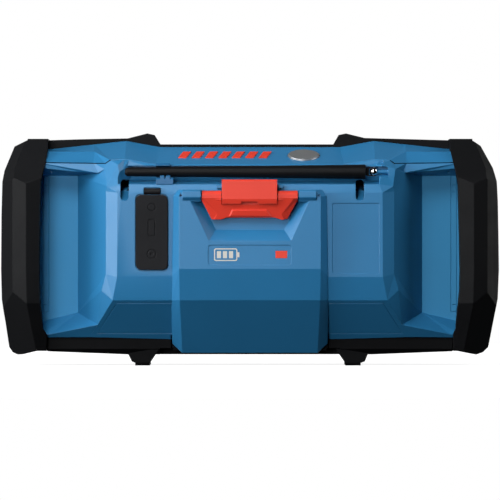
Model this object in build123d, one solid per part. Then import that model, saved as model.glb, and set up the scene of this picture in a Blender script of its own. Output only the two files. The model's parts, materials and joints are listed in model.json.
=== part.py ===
from build123d import *
import math
import os

os.makedirs("parts", exist_ok=True)

# ---------------------------------------------------------------- dimensions
# Millimetres. +Z up, the battery door and antenna face -Y (rear), the
# loudspeakers face +Y (front). Origin: middle of the footprint, on the ground.
G = 0.6                 # size of one unit of the layout grid
U0, V0 = 250.0, 365.7   # grid position of x = 0 and of the ground line

Y_SPLIT = -8.0          # plane where the rear and front housings meet
Y_MAIN = -52.0          # rear housing, main face
Y_SEAM = -39.0          # rear edge of the sloping top
Y_FLOOR = -18.0         # floor of the two grip recesses
Y_FRONT = 50.0          # front wall, outer face
WALL = 3.0
DOOR_Y = -59.0          # battery door, main face
GAP = 0.35              # running gap between bodies

HINGE_Y, HINGE_Z = -21.5, 12.5      # battery door hinge axis
LEVER_Y, LEVER_Z = -57.5, 102.6     # latch lever axis
HOOK_Y, HOOK_Z = -59.6, 99.6        # latch hook axis
FLAP_Y, FLAP_Z = -53.2, 102.6       # port flap axis
ANT_X, ANT_Y, ANT_Z = 74.1, -45.0, 116.2   # antenna knuckle centre
ANT_TIP_X = -74.9
ANT_R_BASE, ANT_R_TIP = 4.35, 2.75

SPK_X, SPK_Z = 83.0, 70.0           # loudspeaker axes
KNOB_Z, KNOB_R = 41.0, 17.0
TOP_SLOPE = math.degrees(math.atan2(10.56, 30.0))


def gx(u):
    return (u - U0) * G


def gz(v):
    return (V0 - v) * G


def box(x0, x1, y0, y1, z0, z1):
    return Pos((x0 + x1) / 2, (y0 + y1) / 2, (z0 + z1) / 2) * Box(x1 - x0, y1 - y0, z1 - z0)


def prism_y(pts, y0, y1):
    """Outline in X,Z carried along Y from y0 to y1."""
    face = Face(Wire.make_polygon([Vector(x, y0, z) for x, z in pts]))
    return Part() + Solid.extrude(face, Vector(0, y1 - y0, 0))


def prism_x(pts, x0, x1):
    """Outline in Y,Z carried along X."""
    face = Face(Wire.make_polygon([Vector(x0, y, z) for y, z in pts]))
    return Part() + Solid.extrude(face, Vector(x1 - x0, 0, 0))


def prism_z(pts, z0, z1):
    """Outline in X,Y carried along Z."""
    face = Face(Wire.make_polygon([Vector(x, y, z0) for x, y in pts]))
    return Part() + Solid.extrude(face, Vector(0, 0, z1 - z0))


def hull(pts):
    return Part() + ConvexPolyhedron(pts)


def cyl_y(x, z, r, y0, y1):
    return Pos(x, (y0 + y1) / 2, z) * Rot(90, 0, 0) * Cylinder(r, abs(y1 - y0))


def cyl_x(y, z, r, x0, x1):
    return Pos((x0 + x1) / 2, y, z) * Rot(0, 90, 0) * Cylinder(r, abs(x1 - x0))


def cyl_z(x, y, r, z0, z1):
    return Pos(x, y, (z0 + z1) / 2) * Cylinder(r, abs(z1 - z0))


def rbox_y(x0, x1, z0, z1, r, y0, y1):
    """Rounded rectangle in X,Z carried along Y."""
    pl = Plane(origin=((x0 + x1) / 2, y0, (z0 + z1) / 2), x_dir=(1, 0, 0), z_dir=(0, 1, 0))
    return extrude(pl * RectangleRounded(x1 - x0, z1 - z0, r), amount=y1 - y0)


def mirrored(part):
    return Part() + mirror(part, about=Plane.YZ)


def plane3(a, b, c, inside=(0, 0, 70)):
    """Half space bounded by the plane through a, b and c, on the side of the point inside."""
    u = [b[i] - a[i] for i in range(3)]
    v = [c[i] - a[i] for i in range(3)]
    n = (u[1] * v[2] - u[2] * v[1], u[2] * v[0] - u[0] * v[2], u[0] * v[1] - u[1] * v[0])
    size = math.sqrt(sum(t * t for t in n))
    n = tuple(t / size for t in n)
    d = sum(n[i] * a[i] for i in range(3))
    if sum(n[i] * inside[i] for i in range(3)) > d:
        n, d = tuple(-t for t in n), -d
    return n, d


def polytope(planes):
    """Convex solid common to the half spaces (normal, distance)."""
    pts = []
    m = len(planes)
    for i in range(m):
        for j in range(i + 1, m):
            for k in range(j + 1, m):
                (a, p), (b, q), (c, r) = planes[i], planes[j], planes[k]
                bc = (b[1] * c[2] - b[2] * c[1], b[2] * c[0] - b[0] * c[2], b[0] * c[1] - b[1] * c[0])
                det = sum(a[t] * bc[t] for t in range(3))
                if abs(det) < 1e-7:
                    continue
                ca = (c[1] * a[2] - c[2] * a[1], c[2] * a[0] - c[0] * a[2], c[0] * a[1] - c[1] * a[0])
                ab = (a[1] * b[2] - a[2] * b[1], a[2] * b[0] - a[0] * b[2], a[0] * b[1] - a[1] * b[0])
                x = tuple((p * bc[t] + q * ca[t] + r * ab[t]) / det for t in range(3))
                if all(sum(n[t] * x[t] for t in range(3)) <= d + 1e-6 for n, d in planes):
                    if all(max(abs(x[t] - o[t]) for t in range(3)) > 1e-4 for o in pts):
                        pts.append(x)
    return hull(pts)


def groove(path, half, depth):
    """Thin cut along a path of (x, y of the surface, z), half wide each way, depth deep."""
    cut = Part()
    for (x0, y0, z0), (x1, y1, z1) in zip(path, path[1:]):
        ln = math.hypot(x1 - x0, z1 - z0)
        ex, ez = (x1 - x0) / ln * half, (z1 - z0) / ln * half
        pts = []
        for x, y, z, e in ((x0, y0, z0, -1), (x1, y1, z1, 1)):
            for t in (-1, 1):
                for yy in (y - 14, y + depth):
                    pts.append((x + e * ex - t * ez, yy, z + e * ez + t * ex))
        cut += hull(pts)
    return cut


def slope_plane(x, s):
    """Plane lying on the sloping top, s mm up the slope from its rear edge."""
    a = math.radians(TOP_SLOPE)
    return Plane(origin=(x, Y_SEAM + s * math.cos(a), gz(164.4) + s * math.sin(a)),
                 x_dir=(1, 0, 0), z_dir=(0, -math.sin(a), math.cos(a)))


PARTS = {}


def node(name, part):
    PARTS[name] = part


# ------------------------------------------------- rear housing, outer faces
# Each corner of the faceted rear is given on the layout grid with its depth.
def low(v):
    return -48.0 + 0.555 * (v - 300.2)


LEFT = {
    "T1": (38, 150.1, -9), "T2": (47.6, 149.1, -9), "Tm": (93.8, 144.1, -9),
    "T3": (125.9, 140.7, -9), "T4": (160, 146.8, -9),
    "R1": (38, 151.4, -24), "R2": (93.8, 151.4, -24),
    "S1": (38, 162.6, -35), "Sm": (93.8, 163.4, -35), "Sn": (105.6, 163.6, -40), "S3": (110.6, 160.2, Y_SEAM),
    "S4": (125.1, 159.4, Y_SEAM), "S5": (155.7, 164.4, Y_SEAM),
    "B1": (38, 168.0, -34.6), "B2": (80, 172, -34.8), "B3": (98.4, 173.2, -37.0),
    "X1": (104.9, 169.4, -47.2), "X2": (118.3, 164.8, -47.4), "X3": (107.2, 186.4, -47.6),
    "N1": (106.3, 191.6, -46.3), "N2": (106.3, 273.9, -46.3), "N3": (101.9, 290.4, -44.0),
    "M1": (117.9, 192.9, Y_MAIN), "M2": (117.5, 276.9, Y_MAIN), "M3": (113, 300.2, -48),
    "G1": (120.9, 184.5, -50),
    "C1": (38, 175.5, Y_FLOOR), "C2": (77.6, 175.5, Y_FLOOR),
    "D1": (38, 322.3, Y_FLOOR), "D2": (77.6, 312.6, Y_FLOOR),
    "E1": (38, 335.0, low(335.0)), "E2": (49.9, 334.4, low(334.4)), "E3": (98, 324.8, low(324.8)),
    "H1": (38, 337.5, low(337.5)), "H2": (90, 337.2, low(337.2)), "H3": (171, 339.3, low(339.3)),
}
# the left corner is shallower, where no antenna socket lies behind it
LEFT_DEPTH = {"Sn": -38.2, "X1": -40.1, "X2": -44.0}
HALF_FACES = [
    "T1 T2 Tm R2 R1", "R1 R2 Sm S1", "R2 S3 Sn Sm", "Tm T3 S4 S3 R2", "T3 T4 S5 S4",
    "S1 Sm B3 B2 B1", "Sn S3 X1", "Sm Sn X1", "Sm X1 B3", "S3 X2 X1", "X2 X3 X1", "S3 S4 X2", "S4 S5 G1 X2",
    "X2 G1 X3", "X3 G1 M1 N1", "N1 M1 M2 N2", "N2 M2 M3 N3", "M3 H3 H2 E3", "E3 H2 E2",
    "E2 H2 H1 E1", "N3 M3 E3 D2", "D2 E3 E2 E1 D1", "C1 C2 D2 D1", "B1 B2 C2 C1", "B2 B3 C2",
    "C2 B3 X1", "C2 X1 X3", "C2 X3 N1", "C2 N1 N2 D2", "D2 N2 N3",
]
MID_FACES = ["T4 T4' S5' S5", "S5 S5' G1' G1", "G1 G1' M1' M1", "M1 M1' M2' M2",
             "M2 M2' M3' M3", "M3 M3' H3' H3"]
RIM = ["T1", "T2", "Tm", "T3", "T4", "T4'", "T3'", "Tm'", "T2'", "T1'", "R1'", "S1'", "B1'",
       "C1'", "D1'", "E1'", "H1'", "H2'", "H3'", "H3", "H2", "H1", "E1", "D1", "C1", "B1",
       "S1", "R1"]


def vertex(name):
    u, v, y = LEFT[name.rstrip("'")]
    y = LEFT_DEPTH.get(name, y)
    x = gx(u)
    return Vector(-x if name.endswith("'") else x, y, gz(v))


def tri_faces(names):
    p = [vertex(n) for n in names]
    return [Face(Wire.make_polygon([p[0], p[i], p[i + 1]])) for i in range(1, len(p) - 1)]


faces = []
for row in HALF_FACES:
    ids = row.split()
    faces += tri_faces(ids)
    faces += tri_faces([i + "'" for i in ids])
for row in MID_FACES:
    faces += tri_faces(row.split())
for a, b in zip(RIM, RIM[1:] + RIM[:1]):
    p, q = vertex(a), vertex(b)
    faces.append(Face(Wire.make_polygon([p, q, Vector(q.X, Y_SPLIT, q.Z), Vector(p.X, Y_SPLIT, p.Z)])))
back = [Vector(vertex(n).X, Y_SPLIT, vertex(n).Z) for n in RIM]
faces.append(Face(Wire.make_polygon(back)))
rear_outer = Part() + Solid(Shell(faces)).clean()
if rear_outer.volume < 0:
    rear_outer = Part() + Solid(Shell([-f for f in faces])).clean()
for sx in (-1, 1):
    rear_outer += box(min(sx * 141, sx * 126), max(sx * 141, sx * 126), -24, Y_SPLIT, 20, 118) \
        - box(min(sx * 127.5, sx * 125.5), max(sx * 127.5, sx * 125.5), -25, Y_FLOOR, 19, 119)

# ------------------------------------------------ front housing, outer faces
FRONT_TOP = 129.5
front_outer = hull([(sx * 128, Y_SPLIT, z) for sx in (-1, 1) for z in (11, FRONT_TOP)]
                   + [(sx * 128, 44, z) for sx in (-1, 1) for z in (11, FRONT_TOP)]
                   + [(sx * 126, Y_FRONT, z) for sx in (-1, 1) for z in (15, 126.5)])
for sx in (-1, 1):
    front_outer += box(min(sx * 141, sx * 127), max(sx * 141, sx * 127), Y_SPLIT, 41, 20, 118)

# ------------------------------------------------------------ side bumpers
IN = (-122, 0, 70)


def bumper_planes():
    za, zb, zc = 112.8, 56.8, 37.3
    p3 = plane3((-141.6, -42.4, za), (-125.5, -44.3, 112.5), (-121.4, -28.2, 129.9), IN)

    def on3(x, z):
        (nx, ny, nz), d = p3
        return (x, (d - nx * x - nz * z) / ny, z)

    e1, e2 = on3(-141.2, 118.3), on3(-135.1, 134.4)
    rear = [
        plane3((-149.35, -28, 0), (-142.2, -42.3, 0), (-142.2, -42.3, 50), IN),
        plane3((-142.2, -42.3, 0), (-134.1, -46.5, 0), (-134.1, -46.5, 50), IN),
        plane3((-134.1, -46.5, 0), (-119, -42.6, 0), (-119, -42.6, 50), IN),
        plane3((-149.35, -28, zb), (-142.2, -42.3, zb), (-141.8, -41.1, zc), IN),
        plane3((-142.2, -42.3, zb), (-134.1, -46.5, zb), (-133.8, -44.9, zc), IN),
        plane3((-134.1, -46.5, zb), (-119, -42.6, zb), (-119, -41.2, zc), IN),
        plane3((-147.0, -31.0, zc), (-133.8, -44.9, zc), (-131.0, -27.0, 9), IN),
        plane3((-133.8, -44.9, zc), (-119, -41.2, zc), (-119, -27.5, 9), IN),
        p3,
        plane3(e1, e2, (-147.6, -23, 117.2), IN),
        plane3(e1, (-141.6, -42.4, za), (-149.0, -27.4, 110.6), IN),
    ]
    f3 = plane3((-141.6, 48.4, za), (-125.5, 51.6, 112.5), (-121.4, 34, 131.5), IN)

    def onf(x, z):
        (nx, ny, nz), d = f3
        return (x, (d - nx * x - nz * z) / ny, z)

    g1, g2 = onf(-141.2, 118.3), onf(-135.1, 134.4)
    front = [
        plane3((-149.35, 36, 0), (-142.2, 48.4, 0), (-142.2, 48.4, 50), IN),
        plane3((-142.2, 48.4, 0), (-134.1, 54, 0), (-134.1, 54, 50), IN),
        plane3((-134.1, 54, 0), (-119, 53.6, 0), (-119, 53.6, 50), IN),
        plane3((-147.0, 39.0, zc), (-133.8, 53.0, zc), (-131.0, 42.0, 9), IN),
        plane3((-133.8, 53.4, zc), (-119, 53.2, zc), (-119, 45, 9), IN),
        f3,
        plane3(g1, g2, (-147.6, 34, 117.2), IN),
        plane3(g1, (-141.6, 48.4, za), (-149.0, 36, 110.6), IN),
    ]
    rest = [((0, 0, 1), 136.2), ((0, 0, -1), -6.6), ((1, 0, 0), -119), ((-1, 0, 0), 149.6)]
    return rear + front + rest


LEFT_OUTLINE = [(27.3, 140.0), (13.8, 146.2), (4.3, 170.4), (2.3, 181.5), (1.4, 215), (1.0, 270),
                (1.7, 299.4), (3.2, 309.7), (5.2, 322.3), (8.6, 347.3), (12.1, 352.5), (17.2, 354.8),
                (22.4, 354.5), (36.7, 351), (46.4, 351), (47.1, 334.9), (42.8, 328), (40.2, 298),
                (39.6, 274), (40.2, 215), (41.0, 182.4), (42.5, 174.9), (45.9, 162.3), (47.6, 149.1),
                (47.6, 138.5), (27.3, 138.5)]
RIGHT_OUTLINE = [(472.7, 138.5), (472.7, 140.3), (481.1, 145.7), (493, 167.8), (496.8, 181.2),
                 (497.9, 201.5), (498.7, 245), (499.0, 269.5), (497.9, 298.6), (494.9, 313.9),
                 (488.8, 347.5), (483.4, 352.5), (476.5, 354.8), (457.4, 351), (453.6, 351),
                 (452.8, 334.5), (455.5, 328.4), (457, 310.8), (459.3, 291), (459.7, 271),
                 (459.3, 245), (457.8, 184.7), (456.2, 174.7), (452.8, 162.5), (450.1, 149.5),
                 (450.1, 138.5)]
bump_hull = polytope(bumper_planes())
pocket = hull([(x, y, z) for z in (46, 106) for x, y in
               [(-137.5, -39), (-130.5, -41.5), (-130.5, -24), (-141, -24), (-142, -32)]])
left_bumper = (bump_hull & prism_y([(gx(u), gz(v)) for u, v in LEFT_OUTLINE], -80, 80))
left_bumper = left_bumper - rear_outer - front_outer - pocket
right_bumper = (mirrored(bump_hull) & prism_y([(gx(u), gz(v)) for u, v in RIGHT_OUTLINE], -80, 80))
right_bumper = right_bumper - rear_outer - front_outer - mirrored(pocket)

# --------------------------------------------------------------- top frame
CREST = [(47.6, 139.9), (80, 138.9), (127.4, 138), (147, 133), (154.2, 134.6), (160, 144),
         (333.7, 144), (339, 134.6), (346.3, 133), (365, 137.6), (420, 139.2), (450.1, 139.9)]
crest = [(gx(u), gz(v)) for u, v in CREST]
crest = [(-121.4, FRONT_TOP)] + crest + [(120.0, FRONT_TOP)]
crest[1] = (-121.4, crest[1][1])
crest[-2] = (120.0, crest[-2][1])
top_frame = prism_y(crest, Y_SPLIT, 46)
top_frame -= prism_x([(26, 145), (60, 145), (60, 124), (46, 129.6)], -140, 140)
top_frame -= left_bumper
top_frame -= right_bumper
top_frame -= front_outer

# ---------------------------------------------------------------- cavities
rear_cav = prism_x([(-49, 54), (-49, 105.5), (-33.5, 105.5), (-33.5, 118.5), (Y_SPLIT, 127),
                    (Y_SPLIT, 19.5), (-25.5, 19.5), (-44.2, 40.3)], -76.5, 76.5)
side_cav = prism_z([(-76, -47), (-82.5, -43.8), (-98.2, -17.5), (-98.2, Y_SPLIT), (-76, Y_SPLIT)], 46, 103.5)
side_cav += box(-125, -96, Y_FLOOR + WALL, Y_SPLIT, 36, 111)
side_cav += box(-138.5, -124, -21, Y_SPLIT, 23, 115) - box(-127.5, -123, -22, Y_FLOOR + WALL, 20, 118)
side_cav += prism_x([(-31, 120.8), (-17, 117.2), (Y_SPLIT, 117.2), (Y_SPLIT, 126.2), (-22.4, 125.8)], -124, -94)
front_cav = box(-125, 125, Y_SPLIT, 45.5, 14.5, 126.3)
for sx in (-1, 1):
    front_cav += box(min(sx * 138.5, sx * 124), max(sx * 138.5, sx * 124), Y_SPLIT, 38.5, 23, 115)

slot_x = [gx(125.1), gx(359.5)]
SLOT_HALF = 4.05
bosses = Part()
for x in slot_x:
    bosses += box(x - SLOT_HALF, x + SLOT_HALF, -52, -37, 95.5, 114)
bosses += box(-71.5, -46, -52, -44.6, 54, 110)      # port bay surround
rear_cav = rear_cav - bosses
cav_all = rear_cav + (side_cav - bosses) + (mirrored(side_cav) - bosses)
rear_housing = rear_outer - cav_all

# antenna groove, hang slots, port bay, blank panel, battery opening
channel = prism_x([(-70, 108.7), (-50, 108.7), (-44, 109.3), (-38.5, 111.3), (-36.5, 114),
                   (-36.5, 119.9), (Y_SEAM - 1.3, 119.9), (Y_SEAM - 0.1, 123.4), (Y_SEAM - 0.1, 128), (-70, 128)], -79.0, 77.3)
channel -= prism_z([(-79.2, -47.5), (-79.2, -30), (-70.4, -36.4)], 100, 130)
wedge = hull([(80, Y_SEAM, 122.1), (68.9, Y_SEAM, 119.8), (80, Y_SEAM, 118), (77.6, -46.9, 119.95), (77.6, -46.9, 118),
              (68.9, Y_SEAM, 118), (80, -30, 122.1), (68.9, -30, 119.8), (80, -48, 120.2), (80, -48, 118)])
wedge -= box(60, 90, -60, -20, 100, 119.4)
channel = channel - wedge + (box(77.2, 79.6, -60, Y_SEAM - 0.2, 119.4, 130) - wedge)
rear_housing -= channel
# pocket for the antenna base, with its sloping sill
rear_housing -= box(76, 80.5, -60, -40.8, 114.7, 119.4) + cyl_y(80.5, 117.05, 2.35, -60, -40.8)
rear_housing -= prism_x([(-60, 112.6), (-47.9, 113.2), (-44.4, 114.5), (-42, 114.8), (-42, 115.7), (-60, 115.7)], 76, 82.9)
for x in slot_x:
    pl = Plane(origin=(x, -60, 105.3), x_dir=(0, 0, 1), z_dir=(0, 1, 0))
    ramp = prism_x([(-52.2, 90), (-52.2, 98.8), (-40.3, 105.0), (-30, 105.0), (-30, 90)], x - 5, x + 5)
    rear_housing -= extrude(pl * SlotOverall(13.1, 5.04), amount=19.5) - ramp
    rear_housing -= rbox_y(x - 2.4, x + 2.4, 105.2, 111.4, 2.3, -46, -31)
rear_housing -= rbox_y(-68.7, -48.8, 57.2, 102.95, 3.4, -60, -50.3)
rear_housing -= rbox_y(-63.7, -53.3, 98, 106.9, 1.2, -60, -50.3)
rear_housing -= rbox_y(-66.5, -51.0, 59.5, 100.8, 2.0, -52, -44)
rear_housing -= rbox_y(gx(332.1), gx(378.8), gz(273.5), gz(203.4), 0.8, -60, Y_MAIN + 0.35)
rear_housing -= box(-39, 39, -60, -40, 20.0, 103.6)
rear_housing -= box(-43, 43, -40, -10, 10, 20.5)
rear_housing -= hull([(sx * 39, y, z) for sx in (-1, 1) for y, z in
                      [(-60, 20), (-60, 60), (-30, 60), (-20, 20)]])
rear_housing -= box(-47.6, 47.6, -40, -14, 5, 18.5)
# seal groove round the upper part of the battery opening
seal = (rbox_y(-44.9, 44.9, 50, 104.9, 4.4, -52, -50.8)
        - rbox_y(-43.4, 43.4, 40, 103.4, 2.0, -53, -50)
        - box(-50, 50, -60, -40, 40, 55))
rear_housing -= seal
# seats for the badge, the strike and the antenna socket
badge_pl = slope_plane(gx(303.7), 15.9)
rear_housing -= extrude(badge_pl * Circle(9.7), amount=2, both=True) & extrude(badge_pl * Circle(9.7), amount=0.5, both=True)
rear_housing -= cyl_x(ANT_Y, ANT_Z, 1.95, 82, 86.1) + cyl_x(ANT_Y, ANT_Z, 1.4, 79, 82.5)
# screw holes, closed towards the rear
SCREW_X, SCREW_Z = 119.4, 24.4
for sx in (-1, 1):
    rear_housing -= cyl_y(sx * SCREW_X, SCREW_Z, 1.5, -14.5, Y_SPLIT + 2)

# thin joint line of the top, panel outlines low down, lines on the recess floors
for sx in (1, -1):
    joint = [vertex(n if sx > 0 else n + "'") for n in ("S1", "Sm", "Sn", "S3", "S4", "S5")]
    rear_housing -= groove([(p.X, p.Y, p.Z) for p in joint], 0.28, 0.5)
    low_line = [(sx * gx(u), low(v), gz(v)) for u, v in ((174, 303.2), (117, 303.2), (97.4, 333.6), (174, 333.6))]
    rear_housing -= groove(low_line, 0.2, 0.3)
    for u in (42.7, 48.5):
        rear_housing -= box(sx * gx(u) - 0.22, sx * gx(u) + 0.22, -30, Y_FLOOR + 0.4, gz(311.7), 113.6)
    for v in (185, 191.6, 304.8, 311.7):
        rear_housing -= box(min(sx * gx(42.7), sx * gx(48.5)), max(sx * gx(42.7), sx * gx(48.5)), -30, Y_FLOOR + 0.4,
                            gz(v) - 0.2, gz(v) + 0.2)
    rear_housing -= cyl_y(sx * 119.3, 115.9, 0.75, -40, -24)

# the shell is moulded as a middle with two ends and two slot inserts
X_END = 86.2
for side, sx, x in (("left", -1, slot_x[0]), ("right", 1, slot_x[1])):
    end = box(min(sx * X_END, sx * 200), max(sx * X_END, sx * 200), -100, 20, 0, 200)
    node(f"{side}_rear_end", rear_housing & end)
    rear_housing -= end
    ins = box(x - SLOT_HALF, x + SLOT_HALF, -70, -37, 95.5, 114)
    node(f"{side}_slot_insert", rear_housing & ins)
    rear_housing -= ins
node("rear_housing", rear_housing)

screws = Part()
for sx in (-1, 1):
    s = cyl_y(sx * SCREW_X, SCREW_Z, 2.5, 9.6, 12) + cyl_y(sx * SCREW_X, SCREW_Z, 1.45, -13.5, 9.8)
    s -= cyl_y(sx * SCREW_X, SCREW_Z, 1.1, 10.8, 13)
    screws += s

# ------------------------------------------------------------- front shell
front_housing = front_outer - front_cav
front_housing -= box(-37, 37, 40, 55, 21, 122)
for sx in (-1, 1):
    front_housing -= rbox_y(min(sx * 122.5, sx * 42.5), max(sx * 122.5, sx * 42.5), 16.5, 125, 6, 48, 60)
    front_housing -= cyl_y(sx * SPK_X, SPK_Z, 36, 40, 60)
    b = cyl_y(sx * SCREW_X, SCREW_Z, 4.5, Y_SPLIT, 12) + box(sx * SCREW_X - 1.5, sx * SCREW_X + 1.5, Y_SPLIT + 2.2, 12, 13.5, 21)
    front_housing += b - cyl_y(sx * SCREW_X, SCREW_Z, 1.5, Y_SPLIT - 1, 13) - cyl_y(sx * SCREW_X, SCREW_Z, 2.6, 9.6, 13)
    front_housing -= cyl_y(sx * SCREW_X, SCREW_Z, 3.0, 44, 52)
node("front_housing", front_housing)
node("left_bumper", left_bumper)
node("right_bumper", right_bumper)
node("top_frame", top_frame)

# ---------------------------------------------------- base frame with feet
base = hull([(sx * 121.6, y, z) for sx in (-1, 1) for y, z in
             [(-26.0, 20), (-26.0, 10), (-23.0, 6.7), (42, 6.7), (47, 11.2), (47, 14)]]
            + [(sx * 122.6, -10, 20) for sx in (-1, 1)])
base = base - rear_outer - front_outer - left_bumper - right_bumper
base -= box(-200, 200, Y_SPLIT, 60, 11, 40)
base -= box(-43, 43, -60, Y_SPLIT, 17.5, 30)
for sx in (-1, 1):
    base -= prism_y([(sx * 130, 0), (sx * 130, 8.9), (sx * 73.3, 6.7), (sx * 73.3, 0)], -40, 60)
    base -= box(min(sx * 46, sx * 54.2), max(sx * 46, sx * 54.2), -40, -14, 0, 10.4)
foot_l = [(gx(127.9), 7.2), (gx(131.7), gz(361.5)), (gx(135.1), 1.6), (gx(149.7), 1.6), (gx(159.6), 10.4)]
foot_r = [(gx(368.1), 7.2), (gx(365.0), gz(361.5)), (gx(360.8), 1.6), (gx(345.4), 1.6), (gx(335.4), 10.4)]
pads = Part()
for prof in (foot_l, foot_r):
    for y0, y1 in ((-25.7, -2), (22, 44)):
        f = prism_y(prof, y0, y1)
        base += f - front_outer - rear_outer
        xs = [p[0] for p in prof]
        x0, x1 = sorted((prof[2][0], prof[3][0]))
        pads += box(x0, x1, y0 + 0.6, y1 - 0.6, 0, 1.6)
# clear space for the door's lower edge and hinge knuckles
base -= box(-47.45, 47.45, -40, -14.0, 5, 17.4) - box(-46.8, -41.2, -24.6, -13, 9.0, 17) \
    - box(41.2, 46.8, -24.6, -13, 9.0, 17) - box(-3, 3, -24.6, -13, 9.0, 17)
base -= cyl_x(HINGE_Y, HINGE_Z, 1.5, -46, 46)
node("base_frame", base)
node("foot_pads", pads)
node("door_hinge_pin", cyl_x(HINGE_Y, HINGE_Z, 1.5, -46, 46))
node("housing_screws", screws)

# ------------------------------------------------------------ housing seal
ring = box(-124.9, 124.9, Y_SPLIT, Y_SPLIT + 2, 14.6, 126.2) - box(-122.9, 122.9, Y_SPLIT - 1, Y_SPLIT + 3, 16.6, 124.2)
ring -= cyl_y(-SCREW_X, SCREW_Z, 4.6, -20, 20) + cyl_y(SCREW_X, SCREW_Z, 4.6, -20, 20)
node("housing_seal", ring - front_housing)
node("door_seal", seal)

# ------------------------------------------------------ battery bay inside
bay = prism_x([(-48.9, 57), (-48.9, 105.4), (16, 105.4), (16, 18.6), (-13.8, 18.6), (-24.5, 20.6), (-43.2, 41.2)], -41, 41)
bay -= box(-39, 39, -60, 14, 20.6, 103.4)
bay -= box(-60, -46, -60, -40, 40, 110) + box(46, 60, -60, -40, 40, 110)
bay = bay & (cav_all + box(-41, 41, Y_SPLIT, 16, 14.6, 120))
node("battery_bay", bay)
pack = hull([(sx * 37, y, z) for sx in (-1, 1) for y, z in
             [(-33, 34), (-33, 99), (-30, 102), (4, 102), (7, 99), (7, 25), (4, 22), (-22, 22)]])
pack -= box(-30, 30, -34, -32.2, 52, 84)
node("battery_pack", pack)
term = box(-16, 16, 7, 14, 58, 100)
for x in (-10, -3.4, 3.4, 10):
    term -= box(x - 0.8, x + 0.8, 6, 11, 70, 96)
node("battery_terminal_block", term)

# ----------------------------------------------------------- ports and flap
PORT_X = gx(152.1)
panel = rbox_y(-66.4, -51.1, 59.6, 100.7, 1.9, -48.4, -46.6)
panel -= cyl_y(PORT_X, 95.0, 3.1, -50, -44)
panel -= box(PORT_X - 3.4, PORT_X + 3.4, -50, -44, 75.5, 90.0)
panel -= cyl_y(PORT_X, 67.0, 4.6, -50, -44)
node("port_panel", panel)
aux = cyl_y(PORT_X, 95.0, 3.0, -49.0, -38) + box(PORT_X - 4, PORT_X + 4, -46.5, -37, 91, 99)
aux -= cyl_y(PORT_X, 95.0, 1.77, -50, -38.5)
node("aux_jack", aux)
usb = box(PORT_X - 3.3, PORT_X + 3.3, -48.6, -36, 75.6, 89.9)
usb -= box(PORT_X - 2.7, PORT_X + 2.7, -49, -38, 76.4, 89.1)
usb += box(PORT_X + 0.2, PORT_X + 2.2, -46.5, -37, 77.2, 88.3)
node("usb_port", usb)
dc = cyl_y(PORT_X, 67.0, 4.5, -48.8, -36)
dc -= cyl_y(PORT_X, 67.0, 2.85, -50, -38.5)
dc += cyl_y(PORT_X, 67.0, 1.0, -47.5, -38)
node("dc_inlet", dc)
node("port_board", box(-68, -49.6, -36, -34.4, 57, 103))

flap = rbox_y(gx(136.2), gx(168.0), gz(269.7), 102.3, 3.3, FLAP_Y, -50.7)
flap += box(gx(136.2) + 3.4, gx(168) - 3.4, FLAP_Y + 0.6, -50.7, 98, 102.3)
flap += cyl_y(PORT_X, 95.0, 1.55, -50.8, -49.35)
flap += cyl_y(PORT_X, 67.0, 2.2, -50.8, -49.1)
flap += box(PORT_X - 1.8, PORT_X + 1.8, -50.8, -49.0, 77.5, 88)
# plain marks over the three sockets: ring, bar and ringed dot
flap -= cyl_y(PORT_X, 95.0, 2.5, -54, FLAP_Y + 0.25) - cyl_y(PORT_X, 95.0, 1.9, -54, 0)
flap -= rbox_y(PORT_X - 2.3, PORT_X + 2.3, 77.6, 87.9, 1.2, -54, FLAP_Y + 0.25) \
    - rbox_y(PORT_X - 1.7, PORT_X + 1.7, 78.2, 87.3, 0.8, -54, FLAP_Y + 1)
flap -= cyl_y(PORT_X, 67.0, 2.9, -54, FLAP_Y + 0.25) - cyl_y(PORT_X, 67.0, 2.3, -54, 0)
flap -= cyl_y(PORT_X, 67.0, 0.9, -54, FLAP_Y + 0.25)
node("port_flap", flap)
tab = cyl_x(-51.9, 104.5, 1.9, gx(144.3), gx(160.5)) + box(gx(144.3), gx(160.5), -51.9, -50.4, 102.62, 106.4)
tab -= box(-70, -50, -50.35, -48, 100, 110)
node("flap_hinge_tab", tab)

# ------------------------------------------------------------------ antenna
clip = prism_x([(-50.6, 108.75), (-50.6, 111.6), (-49.6, 112.7), (-42, 112.7), (-36.55, 113.9), (-38.45, 111.35), (-44, 109.35), (-50, 108.75)], gx(156.5), gx(173.5))
clip += prism_x([(-41.4, 112.7), (-41.4, 119.6), (-36.6, 119.6), (-36.6, 112.7)], gx(171.0), gx(173.5)) & prism_x([(-40.6, 112.6), (-40.6, 119.8), (-36.6, 119.8), (-36.6, 112.6)], -60, -20)
clip += prism_x([(-43.6, 119.75), (-46.4, 119.85), (-46.4, 120.1), (-45.4, 121.3), (-39.3, 121.3), (-39.3, 119.85), (-36.6, 119.85), (-36.6, 118.9), (-40.6, 118.9)], gx(156.2), gx(170.2))
clip += box(gx(156.2), gx(173.5), -38.0, -36.6, 112.5, 119.85)
for u0, u1 in ((160.5, 164.5), (166.2, 170.4)):
    clip += hull([(x, y, z) for x in (gx(u0), gx(u1)) for y, z in
                  [(-50.6, 111.4), (-50.5, 113.2), (-49.9, 114.0), (-49.2, 113.6), (-48.4, 111.4)]])
clip = clip - rear_housing
node("antenna_clip", clip)

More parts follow.
